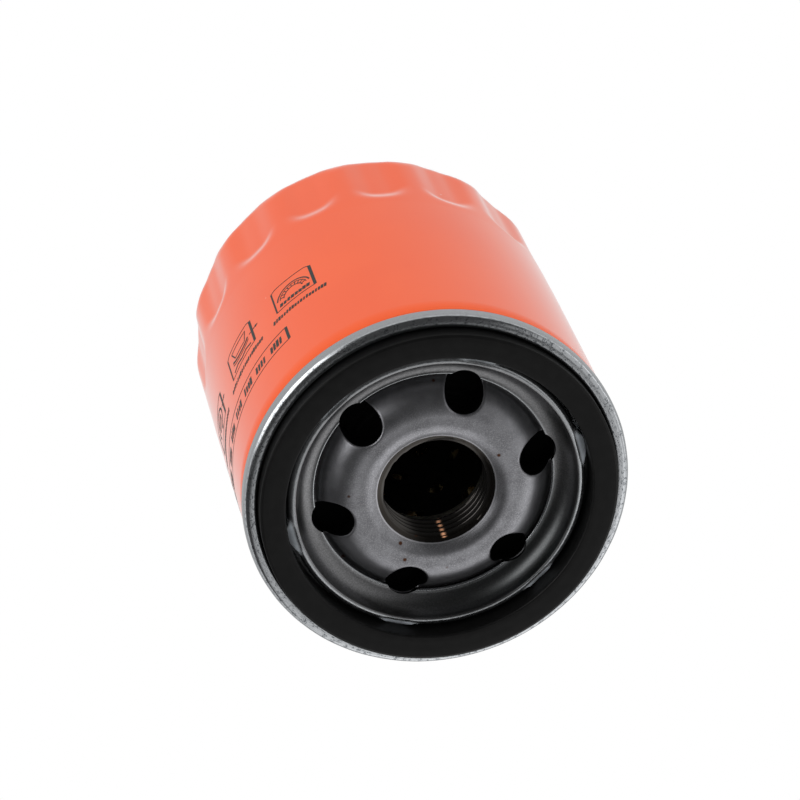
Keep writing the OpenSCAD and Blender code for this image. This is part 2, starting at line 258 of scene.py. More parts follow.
def dress(piece, material, slot, *nodes, body=BODY):
    """Gives a piece its material and body, and hides the CAD nodes that it stands for; slot is not used."""
    piece.data.materials.clear()
    piece.data.materials.append(material)
    if nodes:
        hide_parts(*nodes)
    if body:
        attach(piece, body)
    return piece


# -------- materials
class Shader:
    """A node material while it is being made."""

    def __init__(self, name, **sockets):
        self.material = bpy.data.materials.new(name)
        self.material.use_nodes = True
        self.tree = self.material.node_tree
        self.surface = self.tree.nodes["Principled BSDF"]
        for socket, value in sockets.items():
            self.surface.inputs[socket.replace("_", " ").title().replace("Ior", "IOR")].default_value = value

    def node(self, kind, settings=None, inputs=None):
        """A new node with its settings, and inputs given as values or as sockets to link."""
        made = self.tree.nodes.new(kind)
        for key, value in (settings or {}).items():
            setattr(made, key, value)
        for key, value in (inputs or {}).items():
            if isinstance(value, bpy.types.NodeSocket):
                self.tree.links.new(value, made.inputs[key])
            else:
                made.inputs[key].default_value = value
        return made

    def math(self, operation, first, second=0.0):
        return self.node("ShaderNodeMath", {"operation": operation}, {0: first, 1: second}).outputs[0]

    def times(self, first, second):
        return self.math("MULTIPLY", first, second)

    def place(self):
        """Object coordinates in millimetres."""
        coordinates = self.node("ShaderNodeTexCoord")
        scaled = self.node("ShaderNodeVectorMath", {"operation": "SCALE"},
                           {0: coordinates.outputs["Object"], "Scale": 1000.0})
        return scaled.outputs[0]

    def polar(self):
        """(radius, height, x/radius, y/radius) sockets round the filter axis."""
        parts = self.node("ShaderNodeSeparateXYZ", inputs={0: self.place()})
        x, y, z = parts.outputs
        radius = self.math("SQRT", self.math("ADD", self.times(x, x), self.times(y, y)))
        return radius, z, self.math("DIVIDE", x, radius), self.math("DIVIDE", y, radius)

    def upright(self, steep=0.2, flat=0.4):
        """1 on walls that run along the axis, 0 on faces across it."""
        coordinates = self.node("ShaderNodeTexCoord")
        parts = self.node("ShaderNodeSeparateXYZ", inputs={0: coordinates.outputs["Normal"]})
        return self.within(self.math("ABSOLUTE", parts.outputs[2]), steep, flat, 1.0, 0.0)

    def streaks(self, along, across, height=None, detail=3.0):
        """Noise drawn out round the axis: along and across are its frequencies."""
        radius, z, cosine, sine = self.polar()
        spread = self.math("ADD", self.times(radius, across),
                           self.times(z, across if height is None else height))
        vector = self.node("ShaderNodeCombineXYZ", inputs={
            0: self.times(cosine, along), 1: self.times(sine, along), 2: spread})
        return self.noise(1.0, detail=detail, vector=vector.outputs[0])

    def noise(self, scale, detail=2.0, roughness=0.5, vector=None):
        made = self.node("ShaderNodeTexNoise", inputs={
            "Vector": vector or self.place(), "Scale": scale, "Detail": detail, "Roughness": roughness})
        return made.outputs["Fac"]

    def within(self, value, low, high, out_low=0.0, out_high=1.0):
        """Smooth map of low..high onto out_low..out_high."""
        made = self.node("ShaderNodeMapRange", {"interpolation_type": "SMOOTHSTEP"}, {
            "Value": value, "From Min": low, "From Max": high, "To Min": out_low, "To Max": out_high})
        return made.outputs["Result"]

    def window(self, value, rise, full, fall, gone):
        """1 between full and fall, 0 below rise and above gone."""
        return self.times(self.within(value, rise, full), self.within(value, fall, gone, 1.0, 0.0))

    def mix(self, share, first, second):
        made = self.node("ShaderNodeMix", {"data_type": "RGBA"}, {0: share})
        for socket, value in ((made.inputs[6], first), (made.inputs[7], second)):
            if isinstance(value, bpy.types.NodeSocket):
                self.tree.links.new(value, socket)
            else:
                socket.default_value = (*value, 1)
        return made.outputs[2]

    def set(self, socket, value):
        self.tree.links.new(value, self.surface.inputs[socket])

    def bump(self, height, distance, strength=1.0):
        """Adds a bump layer, distance in millimetres."""
        previous = self.surface.inputs["Normal"]
        inputs = {"Height": height, "Distance": distance * MM, "Strength": strength}
        if previous.is_linked:
            inputs["Normal"] = previous.links[0].from_socket
        made = self.node("ShaderNodeBump", inputs=inputs)
        self.tree.links.new(made.outputs[0], previous)


def orange_paint():
    """Gloss enamel with faint orange peel, mottling and a few pale dust nibs."""
    paint = Shader("orange_paint", roughness=0.30, coat_weight=0.1, coat_roughness=0.08, IOR=1.5,
                   sheen_weight=1.0, sheen_roughness=0.28)
    mottle = paint.noise(0.05, 2.0)
    colour = paint.mix(paint.within(mottle, 0.35, 0.65), (0.94, 0.104, 0.006), (0.92, 0.096, 0.005))
    cells = paint.node("ShaderNodeTexVoronoi", inputs={"Vector": paint.place(), "Scale": 0.16})
    nib = paint.within(cells.outputs["Distance"], 0.022, 0.034, 1.0, 0.0)
    chosen = paint.within(cells.outputs["Color"], 0.52, 0.56)
    paint.set("Base Color", paint.mix(paint.times(nib, chosen), colour, (0.93, 0.5, 0.4)))
    paint.bump(paint.noise(0.9, 2.0), 0.006, 0.4)
    return paint.material


def print_ink():
    """Screen printed dark grey-green ink, slightly worn."""
    ink = Shader("print_ink", roughness=0.5)
    wear = ink.noise(3.0, 4.0, 0.7)
    ink.set("Base Color", ink.mix(ink.within(wear, 0.6, 0.75), (0.022, 0.034, 0.032), (0.16, 0.07, 0.05)))
    return ink.material


def bright_sheet():
    """Tinned sheet: polished and scored at the seam, smooth at the crest, dull in the dish; painted shade on
    the dish's -y side and on steep inner walls, painted highlights on the keeper bumps.
    """
    sheet = Shader("bright_sheet", metallic=1.0)
    radius, height, cosine, sine = sheet.polar()
    dish = sheet.times(sheet.within(radius, 24.9, 25.3, 1.0, 0.0), sheet.within(radius, 21.2, 21.6, 0.35))
    seam = sheet.within(radius, 31.5, 31.8)
    scores = sheet.streaks(40.0, 5.0, 9.0, detail=5.0)
    fleck = sheet.noise(3.4, 5.0, 0.75)
    top = sheet.within(height, SEAM_TOP - 0.75, SEAM_TOP - 0.2)
    worn = sheet.times(sheet.within(scores, 0.46, 0.60), sheet.within(fleck, 0.44, 0.56))
    marks = sheet.times(worn, sheet.math("ADD", 0.12, sheet.times(top, 0.75)))
    bright = sheet.mix(sheet.times(marks, seam), (0.60, 0.62, 0.64), (0.09, 0.10, 0.115))
    grain = sheet.noise(4.5, 5.0, 0.65)
    matte = sheet.mix(sheet.within(grain, 0.35, 0.68), (0.19, 0.19, 0.195), (0.30, 0.30, 0.305))
    # painted shade: the dish colour darkens towards its -y side
    side = sheet.math("SUBTRACT", sheet.times(cosine, 0.4), sine)
    dish_side_shade = sheet.within(side, 0.45, 1.0, 0.0, 0.7)
    matte = sheet.mix(dish_side_shade, matte, (0.04, 0.045, 0.045))
    colour = sheet.mix(dish, bright, matte)
    # painted highlight: the keeper bumps get a pale, barely metallic colour
    turn = sheet.math("ARCTAN2", sine, cosine)
    turned = sheet.math("SUBTRACT", turn, math.radians(INLET_PHASE))
    beat = sheet.math("COSINE", sheet.times(turned, INLET_COUNT))
    bump_highlight = sheet.times(sheet.within(beat, 0.52, 0.95), sheet.within(radius, 25.3, 26.1))
    bump_highlight = sheet.times(bump_highlight, sheet.within(radius, 27.6, 27.7, 1.0, 0.0))
    colour = sheet.mix(bump_highlight, colour, (0.74, 0.80, 0.86))
    sheet.set("Metallic", sheet.within(bump_highlight, 0.0, 1.0, 1.0, 0.2))
    # painted shade: steep walls inside radius 22.5, the punched hole walls among them, are made near black
    punched = sheet.times(sheet.upright(), sheet.within(radius, 22.4, 22.6, 1.0, 0.0))
    sheet.set("Base Color", sheet.mix(punched, colour, (0.03, 0.03, 0.03)))
    polish = sheet.within(scores, 0.3, 0.7, 0.15, 0.26)
    sheet.set("Roughness", sheet.math("ADD", polish, sheet.times(dish, 0.13)))
    sheet.bump(scores, 0.012, 0.45)
    sheet.bump(grain, 0.014, 0.35)
    return sheet.material


def phosphated_plate():
    """Grey phosphated steel with a worn, speckled plateau and a few rust specks; painted shade on the hub's
    foot, the thread and steep walls, a painted highlight on the mouth edge and a painted copper glint in the
    thread.
    """
    plate = Shader("phosphated_plate", metallic=1.0)
    radius, _, cosine, sine = plate.polar()
    grain = plate.noise(5.0, 6.0, 0.72)
    patch = plate.noise(0.35, 3.0)
    worn = plate.window(radius, 10.3, 10.9, 15.2, 17.8)
    speckle = plate.times(plate.within(grain, 0.46, 0.66), plate.math("ADD", 0.18, plate.times(worn, 0.82)))
    base = plate.mix(plate.within(patch, 0.35, 0.65), (0.27, 0.27, 0.285), (0.34, 0.34, 0.36))
    colour = plate.mix(speckle, base, (0.52, 0.52, 0.55))
    # painted shade: the hub darkens towards its foot
    foot = plate.within(radius, 17.6, 20.4)
    colour = plate.mix(plate.times(foot, 0.5), colour, (0.05, 0.05, 0.05))
    # painted shade: the thread and mouth bevel are made dark, the thread roots darker still
    thread = plate.within(radius, 10.38, 10.48, 1.0, 0.0)
    colour = plate.mix(thread, colour, (0.085, 0.08, 0.075))
    root_shade = plate.window(radius, 9.5, 9.8, 10.38, 10.42)
    colour = plate.mix(root_shade, colour, (0.05, 0.045, 0.04))
    # painted highlight: a pale ring on the rim of the mouth
    edge = plate.window(radius, 10.44, 10.5, 10.6, 10.72)
    colour = plate.mix(edge, colour, (0.62, 0.62, 0.65))
    # painted reflection: a copper glint on a few thread flanks, barely metallic
    glint = plate.times(plate.window(radius, 9.3, 9.5, 9.75, 9.95), plate.within(sine, -0.90, -0.95))
    glint = plate.times(glint, plate.window(cosine, -0.26, -0.19, -0.19, -0.11))
    colour = plate.mix(glint, colour, (0.95, 0.46, 0.25))
    plate.set("Metallic", plate.within(glint, 0.0, 1.0, 1.0, 0.1))
    cells = plate.node("ShaderNodeTexVoronoi", inputs={"Vector": plate.place(), "Scale": 0.30})
    spot = plate.within(cells.outputs["Distance"], 0.07, 0.15, 1.0, 0.0)
    chosen = plate.within(cells.outputs["Color"], 0.60, 0.62)
    colour = plate.mix(plate.times(spot, chosen), colour, (0.11, 0.05, 0.03))
    # painted shade: steep faces outside radius 13, the inlet hole walls and the hub's flank, are made near
    # black
    hole = plate.times(plate.upright(0.3, 0.65), plate.within(radius, 13.0, 13.4))
    plate.set("Base Color", plate.mix(hole, colour, (0.02, 0.02, 0.02)))
    rough = plate.within(grain, 0.3, 0.7, 0.44, 0.33)
    plate.set("Roughness", plate.mix(thread, rough, (0.2, 0.2, 0.2)))
    plate.bump(plate.times(grain, plate.math("SUBTRACT", 1.0, thread)), 0.018, 0.45)
    return plate.material


def rubber(name, tone, roughness):
    """Moulded nitrile rubber with a faint bloom and fine grain."""
    made = Shader(name, roughness=roughness, specular_IOR_level=0.2)
    bloom = made.noise(0.5, 4.0)
    made.set("Base Color", made.mix(made.within(bloom, 0.35, 0.7), (tone,) * 3, (tone * 1.5,) * 3))
    made.bump(made.noise(6.0, 3.0), 0.01, 0.4)
    return made.material


def steel(name, colour, roughness, drawn=True):
    """Pressed or drawn steel: fine marks round the axis and faint staining."""
    made = Shader(name, metallic=1.0)
    marks = made.streaks(12.0, 1.8) if drawn else made.noise(2.5, 4.0, 0.6)
    stain = made.noise(0.25, 3.0)
    dark = tuple(c * 0.72 for c in colour)
    made.set("Base Color", made.mix(made.within(stain, 0.4, 0.7), colour, dark))
    made.set("Roughness", made.within(marks, 0.3, 0.7, roughness - 0.07, roughness + 0.09))
    made.bump(marks, 0.01, 0.4)
    return made.material


def filter_paper():
    """Resin treated cellulose: fibrous, warm and matte."""
    paper = Shader("filter_paper", roughness=0.85)
    fibre = paper.noise(2.8, 6.0, 0.75)
    blotch = paper.noise(0.2, 3.0)
    tone = paper.mix(paper.within(fibre, 0.35, 0.65), (0.62, 0.46, 0.22), (0.72, 0.58, 0.32))
    paper.set("Base Color", paper.mix(paper.within(blotch, 0.45, 0.7, 0.0, 0.5), tone, (0.52, 0.36, 0.15)))
    paper.bump(fibre, 0.05, 0.6)
    return paper.material


def resin(name, colour, deep):
    """Cured compound, glossy, with slow ripples."""
    made = Shader(name, roughness=0.35)
    swirl = made.noise(0.4, 3.0)
    made.set("Base Color", made.mix(made.within(swirl, 0.3, 0.7), colour, deep))
    made.bump(made.noise(0.7, 2.0), 0.15, 0.5)
    return made.material


# -------- can
def flute_radius(angle, height):
    """Radius of the fluted wall at an angle in radians and a height."""
    step = 360 / FLUTE_COUNT
    off = abs((math.degrees(angle) - FLUTE_PHASE + step / 2) % step - step / 2)
    run_out = 1 - ramp(FLUTE_END - 4.8, FLUTE_END, height + 0.028 * off * off)
    depth = FLUTE_DEPTH * run_out * (1.08 - 0.012 * height)
    return CAN_RADIUS - depth * (1 - ramp(2.2, 11.0, off))


def soft_min(first, second, blend):
    """The smaller value, with a rounded change-over."""
    share = max(blend - abs(first - second), 0.0) / blend
    return min(first, second) - share * share * blend / 4


def can_shell():
    """Drawn can with scalloped wrench flutes; its neck and hook end inside the double seam."""
    shoulder = CAN_RADIUS - CORNER_RADIUS
    flute_rows = [(CAN_RADIUS, CORNER_RADIUS + 0.5 * i) for i in range(1, 35)]
    skirt = [(CAN_RADIUS, z) for z in (30, 40, 50, 60, 68, SEAM_BOTTOM - 1.2)]
    outer = [(0.0, 0.6), (10.0, 0.6), (18.4, 0.6), (19.0, 0.55), (19.6, 0.35), (20.1, 0.12), (20.8, 0.0),
             (22.4, 0.0), (24.0, 0.0)]
    outer += arc(shoulder, CORNER_RADIUS, CORNER_RADIUS, -90, 0, 14)
    outer += flute_rows + skirt
    rim = [(CAN_RADIUS - 0.3, SEAM_BOTTOM - 0.6), (FOLD_RADIUS, SEAM_BOTTOM - 0.1),
           (FOLD_RADIUS, SEAM_TOP - 0.9), (HOOK_INNER, SEAM_TOP - 0.9), (HOOK_INNER, SEAM_BOTTOM + 0.65),
           (HOOK_OUTER, SEAM_BOTTOM + 0.65), (HOOK_OUTER, SEAM_TOP - 0.5), (NECK_RADIUS, SEAM_TOP - 0.5),
           (NECK_RADIUS, SEAM_BOTTOM - 0.3), (CAN_RADIUS - CAN_WALL - 0.25, SEAM_BOTTOM - 0.85)]
    inner = [(r - CAN_WALL, z) for r, z in reversed(flute_rows + skirt)]
    inner += arc(shoulder, CORNER_RADIUS, CORNER_RADIUS - CAN_WALL, 0, -90, 10)
    inner += [(20.6, CAN_WALL), (19.2, CAN_WALL + 0.5), (18.4, 0.6 + CAN_WALL), (0.0, 0.6 + CAN_WALL)]
    inside = set(inner)

    def pressed(angle, radius, height):
        if radius < shoulder or height > FLUTED_BELOW:
            return radius, height
        inset = CAN_WALL if (radius, height) in inside else 0
        return soft_min(radius + inset, flute_radius(angle, height), 0.3) - inset, height

    return revolve("can_shell", outer + rim + inner, CAN_COLUMNS, pressed, 50, closed=False)


# -------- print on the can
# angles in degrees, lengths in mm, heights of the rows in mm
PRINT_START = 100.0
PRINT_PITCH = 25.4
PRINT_COUNT = 7
PRINT_RISE = 0.03
PRINT_STEP = 0.7
MARK_TURN = 15
MARK_WIDE = 8.6
MARK_TALL = 8.2
MARK_ROW = CREST - 26.9
CAPTION_ROW = CREST - 24.2
ARROW_ROW = CREST - 30.9
ARROW_TURN = 18.1
STRIP_ROW = CREST - 15.8
STRIP_END = 114.0
STRIP_TALL = 4.5
STRIP_CELL = 4.6


class Print:
    """Thin raised ink strokes on the can wall, drawn in mm from a mark's lower left corner."""

    def __init__(self):
        self.points, self.faces = [], []
        self.left, self.base = 0.0, 0.0

    def at(self, left, base):
        """Moves the corner to an angle and a height; right is clockwise, up is towards the closed end."""
        self.left, self.base = left, base

    def stroke(self, path, width, closed=False):
        """Ribbon of a width along a path of (right, up) points."""
        path = [Vector(p) for p in path]
        if closed:
            path.append(path[0])
        dense = [path[0]]
        for start, end in zip(path, path[1:]):
            steps = max(1, math.ceil((end - start).length / PRINT_STEP))
            dense += [start.lerp(end, i / steps) for i in range(1, steps + 1)]
        first = len(self.points)
        for i, spot in enumerate(dense):
            ahead = dense[min(i + 1, len(dense) - 1)] - dense[max(i - 1, 0)]
            side = Vector((-ahead.y, ahead.x)).normalized() * width / 2
            for corner, rise in ((spot + side, PRINT_RISE), (spot - side, PRINT_RISE),
                                 (spot - side, -PRINT_RISE), (spot + side, -PRINT_RISE)):
                angle = math.radians(self.left) - corner.x / CAN_RADIUS
                self.points.append(around(CAN_RADIUS + rise, angle, self.base - corner.y))
        for i in range(len(dense) - 1):
            here, there = first + 4 * i, first + 4 * i + 4
            for j in range(4):
                k = (j + 1) % 4
                self.faces.append((here + j, there + j, there + k, here + k))
        last = first + 4 * (len(dense) - 1)
        self.faces += [(first, first + 1, first + 2, first + 3), (last + 3, last + 2, last + 1, last)]

    def curve(self, centre, radius, start, end, width, squash=1.0):
        """Ribbon along an arc, angles in degrees; squash flattens it upwards."""
        steps = max(6, int(abs(end - start) / 9))
        angles = [math.radians(start + (end - start) * i / steps) for i in range(steps + 1)]
        self.stroke([(centre[0] + radius * math.cos(a), centre[1] + radius * squash * math.sin(a))
                     for a in angles], width)

    def blocks(self, left, base, width, tall, count, seed):
        """A row of slanted little blocks, a stand-in for a caption."""
        chance = random.Random(seed)
        step = width / count
        for i in range(count):
            x = left + (i + 0.5) * step
            reach = tall * chance.uniform(0.75, 1.0)
            self.stroke([(x - 0.1, base), (x + 0.12, base + reach)], step * chance.uniform(0.5, 0.85))
            if chance.random() < 0.5:
                middle = base + reach * 0.5
                self.stroke([(x - step * 0.4, middle), (x + step * 0.45, middle)], 0.16)

    def arrow(self, start, end, width, head):
        """Line with an open head of a size."""
        start, end = Vector(start), Vector(end)
        along = (end - start).normalized()
        side = Vector((-along.y, along.x))
        self.stroke([start, end], width)
        back, half = end - along * head, side * head * 0.5
        self.stroke([back + half, end, back - half], width)


def frame_mark(ink):
    """Box with cut upper corners round a pictogram, its right side bold."""
    wide, tall = MARK_WIDE, MARK_TALL
    for x, width in ((0.0, 0.34), (wide, 0.62)):
        ink.stroke([(x, 0.1), (x, tall - 0.5)], width)
    ink.stroke([(0, 0.1), (wide, 0.1)], 0.2)
    ink.stroke([(0, tall - 0.5), (1.0, tall), (wide - 1.0, tall), (wide, tall - 0.5)], 0.2)


def dial_mark(ink):
    """Dial with ticks."""
    middle, base = MARK_WIDE / 2, 2.6
    for radius, width in ((3.6, 0.3), (3.0, 0.16), (2.1, 0.22)):
        ink.curve((middle, base), radius, 10, 170, width)
    for tick in range(9):
        a = math.radians(20 + 17.5 * tick)
        ink.stroke([(middle + reach * math.cos(a), base + reach * math.sin(a)) for reach in (2.2, 2.9)], 0.18)


def bowl_mark(ink):
    """Bowl over a wavy line."""
    wide = MARK_WIDE
    ink.stroke([(1.7, 6.9), (2.5, 4.3), (wide - 2.5, 4.3), (wide - 1.7, 6.9)], 0.24, closed=True)
    ink.curve((wide / 2, 4.6), 3.0, 200, 340, 0.5, 0.5)
    ink.curve((wide / 2, 3.9), 3.2, 205, 335, 0.22, 0.5)
    ink.stroke([(1.1, 1.0), (2.7, 1.5), (4.3, 1.0), (5.9, 1.5), (wide - 1.1, 1.0)], 0.42)


def turn_mark(ink):
    """Turning arrow round a box."""
    middle = MARK_WIDE / 2
    ink.curve((middle, 4.1), 2.7, -60, 210, 0.42)
    ink.arrow((middle + 0.4, 1.2), (middle + 1.5, 1.8), 0.3, 1.0)
    ink.stroke([(3.0, 3.2), (3.0, 5.2), (5.6, 5.2), (5.6, 3.2)], 0.26, closed=True)
    ink.stroke([(3.0, 4.5), (5.6, 4.5)], 0.2)


def drop_mark(ink):
    """Drop over a line."""
    ink.stroke([(4.3, 7.0), (3.0, 4.4), (3.0, 3.4), (3.6, 2.4), (4.9, 2.4), (5.6, 3.4), (5.6, 4.4)],
               0.34, closed=True)
    ink.curve((4.3, 3.7), 0.7, 180, 300, 0.25)
    ink.stroke([(1.2, 1.4), (MARK_WIDE - 1.2, 1.4)], 0.5)


def print_marks():
    """Generic fitting pictograms in a row, with captions of blocks and a long framed strip below."""
    ink = Print()
    marks = (dial_mark, bowl_mark, turn_mark, drop_mark)
    for number in range(PRINT_COUNT):
        left = PRINT_START + MARK_TURN + PRINT_PITCH * number
        ink.at(left, MARK_ROW)
        frame_mark(ink)
        mark = marks[number % len(marks)]
        mark(ink)
        if mark is dial_mark:
            ink.blocks(0.9, 0.9, MARK_WIDE - 1.8, 1.1, 8, number)
        ink.at(left + 2.6, CAPTION_ROW)
        ink.blocks(0.0, 0.0, 12.0, 1.15, 19, 20 + number)
        if number:
            ink.at(left - ARROW_TURN, ARROW_ROW)
            ink.arrow((-2.9, 0.0), (-0.4, 0.0), 0.26, 0.6)
    last = PRINT_START + PRINT_PITCH * PRINT_COUNT
    ink.at(last, STRIP_ROW)
    length = math.radians(last - STRIP_END) * CAN_RADIUS
    for level in (0.0, STRIP_TALL):
        ink.stroke([(0, level), (length, level)], 0.2)
    for end in (0.0, length):
        ink.stroke([(end, 0), (end, STRIP_TALL)], 0.6)
    for i in range(int(length / STRIP_CELL)):
        ink.blocks(length - STRIP_CELL - STRIP_CELL * i, 1.1, 3.2, 2.3, 4, 60 + i)
    return mesh_piece("can_print", ink.points, ink.faces)


# -------- lid, plate and gasket
def lid_sheet():
    """Thin lid: edge bead, dish, crest, gasket groove with keeper bumps, rolled double seam."""
    top = arc(LID_EDGE + 0.3, GROOVE_FLOOR + 0.07, 0.3, 180, 60, 7)
    top += arc(*DISH_CENTRE, DISH_ARC, -81, -6, 18)
    top += arc(CREST_INNER + 0.17, CREST - 0.2, 0.2, 165, 90, 4)
    top += arc(CREST_INNER + 0.45, CREST - 1.05, 1.05, 90, 0, 9)
    wall = [(GROOVE_INNER, z) for z in (CREST - 1.3 - 0.2 * i for i in range(12))]
    floor = arc(GROOVE_INNER + 0.25, GROOVE_FLOOR + 0.25, 0.25, 180, 270, 4)
    floor += arc(GROOVE_OUTER - 0.25, GROOVE_FLOOR + 0.25, 0.25, -90, 0, 4)
    seam = arc(GROOVE_OUTER + 0.45, SEAM_TOP - 0.45, 0.45, 180, 90, 5)
    seam += [(SEAM_RADIUS - 1.7, SEAM_TOP), (SEAM_RADIUS - 1.45, SEAM_TOP - 0.01)]
    seam += arc(SEAM_RADIUS - 1.3, SEAM_TOP - 1.3, 1.29, 82, 0, 14)
    seam += [(SEAM_RADIUS, z) for z in (SEAM_TOP - 1.6, SEAM_TOP - 2.0, SEAM_BOTTOM + 0.5)]
    seam += arc(SEAM_RADIUS - 0.4, SEAM_BOTTOM + 0.4, 0.4, 0, -90, 5)
    fold = [(FOLD_RADIUS + 0.25, SEAM_BOTTOM), (FOLD_RADIUS, SEAM_BOTTOM + 0.25),
            (FOLD_RADIUS, SEAM_TOP - 1.05), (HOOK_INNER, SEAM_TOP - 1.05), (HOOK_INNER, SEAM_BOTTOM + 0.5),
            (HOOK_OUTER, SEAM_BOTTOM + 0.5), (HOOK_OUTER, SEAM_TOP - 0.5), (NECK_RADIUS, SEAM_TOP - 0.5)]
    under = [(GROOVE_OUTER + LID_SHEET, PLATE_TOP), (GROOVE_INNER - LID_SHEET, PLATE_TOP),
             (GROOVE_INNER - LID_SHEET, CREST - 0.8), (GROOVE_INNER - LID_SHEET - 0.25, CREST - LID_SHEET)]
    under += arc(*DISH_CENTRE, DISH_ARC + LID_SHEET, -8, -84, 8)
    under += [(LID_EDGE + 0.7, PLATE_TOP), (LID_EDGE, PLATE_TOP)]

    def bumps(angle, radius, height):
        step = 360 / INLET_COUNT
        off = abs((math.degrees(angle) - INLET_PHASE + step / 2) % step - step / 2)
        along = 1 - ramp(2.0, 7.4, off)
        if CREST_INNER + 0.5 < radius < GROOVE_INNER + 0.1 and height > CREST - 3.6:
            spread = min((radius - CREST_INNER - 0.5) / (GROOVE_INNER - CREST_INNER - 0.5), 1.0)
            radius += BUMP_REACH * along * spread * ramp(CREST - 3.6, CREST - 1.9, height)
            height = min(height, CREST - 1.75 * along * spread ** 1.25)
        wobble = noise.noise(Vector((math.cos(angle) * 9, math.sin(angle) * 9, height * 0.8)))
        if radius > SEAM_RADIUS - 1.5 and SEAM_BOTTOM + 0.3 < height < SEAM_TOP - 0.1:
            radius += 0.035 * (wobble - 0.6)
        return radius, height

    lid = revolve("seaming_lid_formed", top + wall + floor + seam + fold + under, COLUMNS, bumps)
    return bored(lid, PLATE_TOP - 1, PLATE_TOP + 4)


HUB_TOP = flow([(MOUTH_RADIUS, MOUTH_HEIGHT), (MOUTH_RADIUS + 0.12, MOUTH_HEIGHT + 0.12),
                (11.0, PLATEAU - 0.60), (11.7, PLATEAU - 0.22),
                (12.6, PLATEAU), (14.0, PLATEAU - 0.03), (15.2, PLATEAU - 0.08), (16.3, PLATEAU - 0.30),
                (17.4, PLATEAU - 0.78), (18.4, PLATEAU - 1.48), (19.3, PLATEAU - 2.32),
                (20.1, PLATEAU - 3.3), (20.55, PLATEAU - 3.95), (20.8, PLATE_TOP)])
HUB_TOP += [(PLATE_RADIUS, PLATE_TOP)]
HUB_UNDER = flow([(COLLAR_RADIUS, PLATEAU - 3.7), (12.9, PLATEAU - 2.7), (14.2, PLATEAU - 2.5),
                  (15.35, PLATEAU - 3.0), (17.15, PLATEAU - 4.4), (18.55, PLATE_BOTTOM + 0.6),
                  (19.55, PLATE_BOTTOM)])
HUB_UNDER += [(PLATE_RADIUS, PLATE_BOTTOM)]


def inlet_centres():
    """Centres of the inlet holes in plan."""
    turns = [math.radians(INLET_PHASE + 360 * i / INLET_COUNT) for i in range(INLET_COUNT)]
    return [Vector((INLET_CIRCLE * math.cos(t), INLET_CIRCLE * math.sin(t))) for t in turns]


def perforated(curve, rounding):
    """Points and faces of a revolved surface with rounded inlet holes, and the rings round the holes."""
    inner, outer = curve[0][0], curve[-1][0]
    centres = inlet_centres()
    offsets = [0.0, 0.05, 0.12, 0.22, 0.36, 0.6, 0.95]
    flat, edges, rings = [], [], []

    def ring(radius, centre, count, closed):
        first = len(flat)
        for i in range(count):
            a = 2 * math.pi * i / count
            flat.append(Vector((centre.x + radius * math.cos(a), centre.y + radius * math.sin(a))))
        if closed:
            edges.extend((first + i, first + (i + 1) % count) for i in range(count))
        return list(range(first, first + count))

    origin = Vector((0, 0))
    inside = ring(inner, origin, PLATE_COLUMNS, True)
    outside = ring(outer, origin, PLATE_COLUMNS, True)
    for centre in centres:
        rings.append(ring(INLET_RADIUS, centre, 56, True))
        for gap in offsets[1:]:
            ring(INLET_RADIUS + gap, centre, 56, False)
    radii = [inner + 0.35 * i for i in range(1, int((21.5 - inner) / 0.35))] + [22.2, 24, 26, 28.5]
    for radius in radii:
        for i in range(PLATE_COLUMNS):
            a = 2 * math.pi * (i + 0.5 * (radius % 0.7 > 0.35)) / PLATE_COLUMNS
            p = Vector((radius * math.cos(a), radius * math.sin(a)))
            if min((p - c).length for c in centres) > INLET_RADIUS + offsets[-1] + 0.15:
                flat.append(p)
    made = delaunay_2d_cdt(flat, edges, [], 0, 1e-6)
    spots, triangles, sources = made[0], made[2], made[3]
    index_of = {}
    for new, olds in enumerate(sources):
        for old in olds:
            index_of[old] = new
    closed_rings = [set(index_of[i] for i in r) for r in [inside, *rings]]
    points = []
    for p in spots:
        height = height_on(curve, p.length)
        gap = min((p - c).length for c in centres) - INLET_RADIUS
        if gap < abs(rounding):
            drop = abs(rounding) - math.sqrt(max(rounding ** 2 - (abs(rounding) - max(gap, 0)) ** 2, 0))
            height -= math.copysign(drop, rounding)
        points.append((p.x, p.y, height))
    faces = [tuple(t) for t in triangles
             if not any(all(i in r for i in t) for r in closed_rings)]
    return points, faces, [[index_of[i] for i in r] for r in rings], [index_of[i] for i in outside]


def threaded_wall(first):
    """Right-hand internal M20 x 1.5 thread, mouth to collar end, on rows that climb with the helix."""
    bottom, top = COLLAR_BOTTOM, MOUTH_HEIGHT
    span = (top - bottom) / THREAD_PITCH
    rows = int(span * THREAD_ROWS) + 2 * THREAD_ROWS
    points, faces = [], []
    for column in range(PLATE_COLUMNS + 1):
        lead = column / PLATE_COLUMNS
        angle = 2 * math.pi * lead
        for row in range(rows + 1):
            turn = min(max(row / THREAD_ROWS - 1 + lead, 0.0), span)
            height = bottom + turn * THREAD_PITCH
            phase = abs((turn - lead) % 1.0 - 0.5) * 2
            groove = min(max((1 - THREAD_LAND - phase) / THREAD_FLANK, 0.0), 1.0)
            radius = max(THREAD_MINOR + THREAD_DEPTH * groove,
                         MOUTH_RADIUS - (top - height) / MOUTH_BEVEL, THREAD_MINOR + 0.5 - (height - bottom))
            points.append(around(radius, angle, height))
    for column in range(PLATE_COLUMNS):
        for row in range(rows):
            a = first + column * (rows + 1) + row
            b = a + rows + 1
            faces.append((a, b, b + 1, a + 1))
    return points, faces


